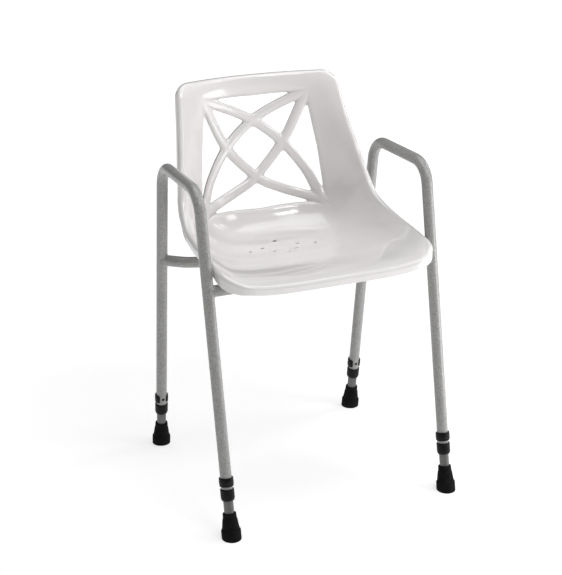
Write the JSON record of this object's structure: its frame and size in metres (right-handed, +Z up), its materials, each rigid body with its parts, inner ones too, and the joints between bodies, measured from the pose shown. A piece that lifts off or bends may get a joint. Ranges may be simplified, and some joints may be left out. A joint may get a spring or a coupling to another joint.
{
  "type": "shower chair",
  "caption": "Shower chair: a moulded plastic bucket seat with a latticed back on a bent-tube frame with arm hoops and height-adjustable legs on rubber feet.",
  "frame": {"origin": "on the floor, under the middle of the whole chair", "axes": "+Z up, the front faces -Y, +X to the right seen from the front"},
  "size_m": [0.5028, 0.4822, 0.7714],
  "materials": {
    "coated_tube": "satin epoxy coating with a fine mottled grain",
    "seat_plastic": "glossy white moulded plastic, slightly warm",
    "aluminium": "satin drawn tube",
    "rubber": "matt black",
    "black_plastic": "satin black moulded plastic",
    "steel": "zinc-plated"
  },
  "bodies": {
    "frame": {"left_side_hoop": "coated_tube", "right_side_hoop": "coated_tube", "front_cross_rail": "coated_tube", "rear_cross_rail": "coated_tube", "seat_shell": "seat_plastic", "seat_screw_front_left": "steel", "seat_washer_front_left": "steel", "seat_screw_front_right": "steel", "seat_washer_front_right": "steel", "seat_screw_rear_left": "steel", "seat_washer_rear_left": "steel", "seat_screw_rear_right": "steel", "seat_washer_rear_right": "steel", "front_left_leg_collar": "black_plastic", "front_right_leg_collar": "black_plastic", "rear_left_leg_collar": "black_plastic", "rear_right_leg_collar": "black_plastic"},
    "front_left_leg": {"front_left_leg_extension": "aluminium", "front_left_ferrule": "rubber", "front_left_ferrule_washer": "steel"},
    "front_left_clip": {"front_left_height_clip": "black_plastic", "front_left_clip_pin": "steel"},
    "front_right_leg": {"front_right_leg_extension": "aluminium", "front_right_ferrule": "rubber", "front_right_ferrule_washer": "steel"},
    "front_right_clip": {"front_right_height_clip": "black_plastic", "front_right_clip_pin": "steel"},
    "rear_left_leg": {"rear_left_leg_extension": "aluminium", "rear_left_ferrule": "rubber", "rear_left_ferrule_washer": "steel"},
    "rear_left_clip": {"rear_left_height_clip": "black_plastic", "rear_left_clip_pin": "steel"},
    "rear_right_leg": {"rear_right_leg_extension": "aluminium", "rear_right_ferrule": "rubber", "rear_right_ferrule_washer": "steel"},
    "rear_right_clip": {"rear_right_height_clip": "black_plastic", "rear_right_clip_pin": "steel"}
  },
  "joints": [
    {"name": "front_left_leg_height", "type": "slide", "parent": "frame", "child": "front_left_leg", "axis": [0.0038, -0.2181, -0.9759], "range_m": [0, 0.15]},
    {"name": "front_left_clip_pull", "type": "slide", "parent": "frame", "child": "front_left_clip", "axis": [-0.0009, -0.9759, 0.2181], "range_m": [0, 0.04], "deforming": ["front_left_height_clip"]},
    {"name": "front_right_leg_height", "type": "slide", "parent": "frame", "child": "front_right_leg", "axis": [-0.0038, -0.2181, -0.9759], "range_m": [0, 0.15]},
    {"name": "front_right_clip_pull", "type": "slide", "parent": "frame", "child": "front_right_clip", "axis": [0.0009, -0.9759, 0.2181], "range_m": [0, 0.04], "deforming": ["front_right_height_clip"]},
    {"name": "rear_left_leg_height", "type": "slide", "parent": "frame", "child": "rear_left_leg", "axis": [0.0098, 0.1053, -0.9944], "range_m": [0, 0.15]},
    {"name": "rear_left_clip_pull", "type": "slide", "parent": "frame", "child": "rear_left_clip", "axis": [-0.001, 0.9944, 0.1053], "range_m": [0, 0.04], "deforming": ["rear_left_height_clip"]},
    {"name": "rear_right_leg_height", "type": "slide", "parent": "frame", "child": "rear_right_leg", "axis": [-0.0098, 0.1053, -0.9944], "range_m": [0, 0.15]},
    {"name": "rear_right_clip_pull", "type": "slide", "parent": "frame", "child": "rear_right_clip", "axis": [0.001, 0.9944, 0.1053], "range_m": [0, 0.04], "deforming": ["rear_right_height_clip"]}
  ]
}
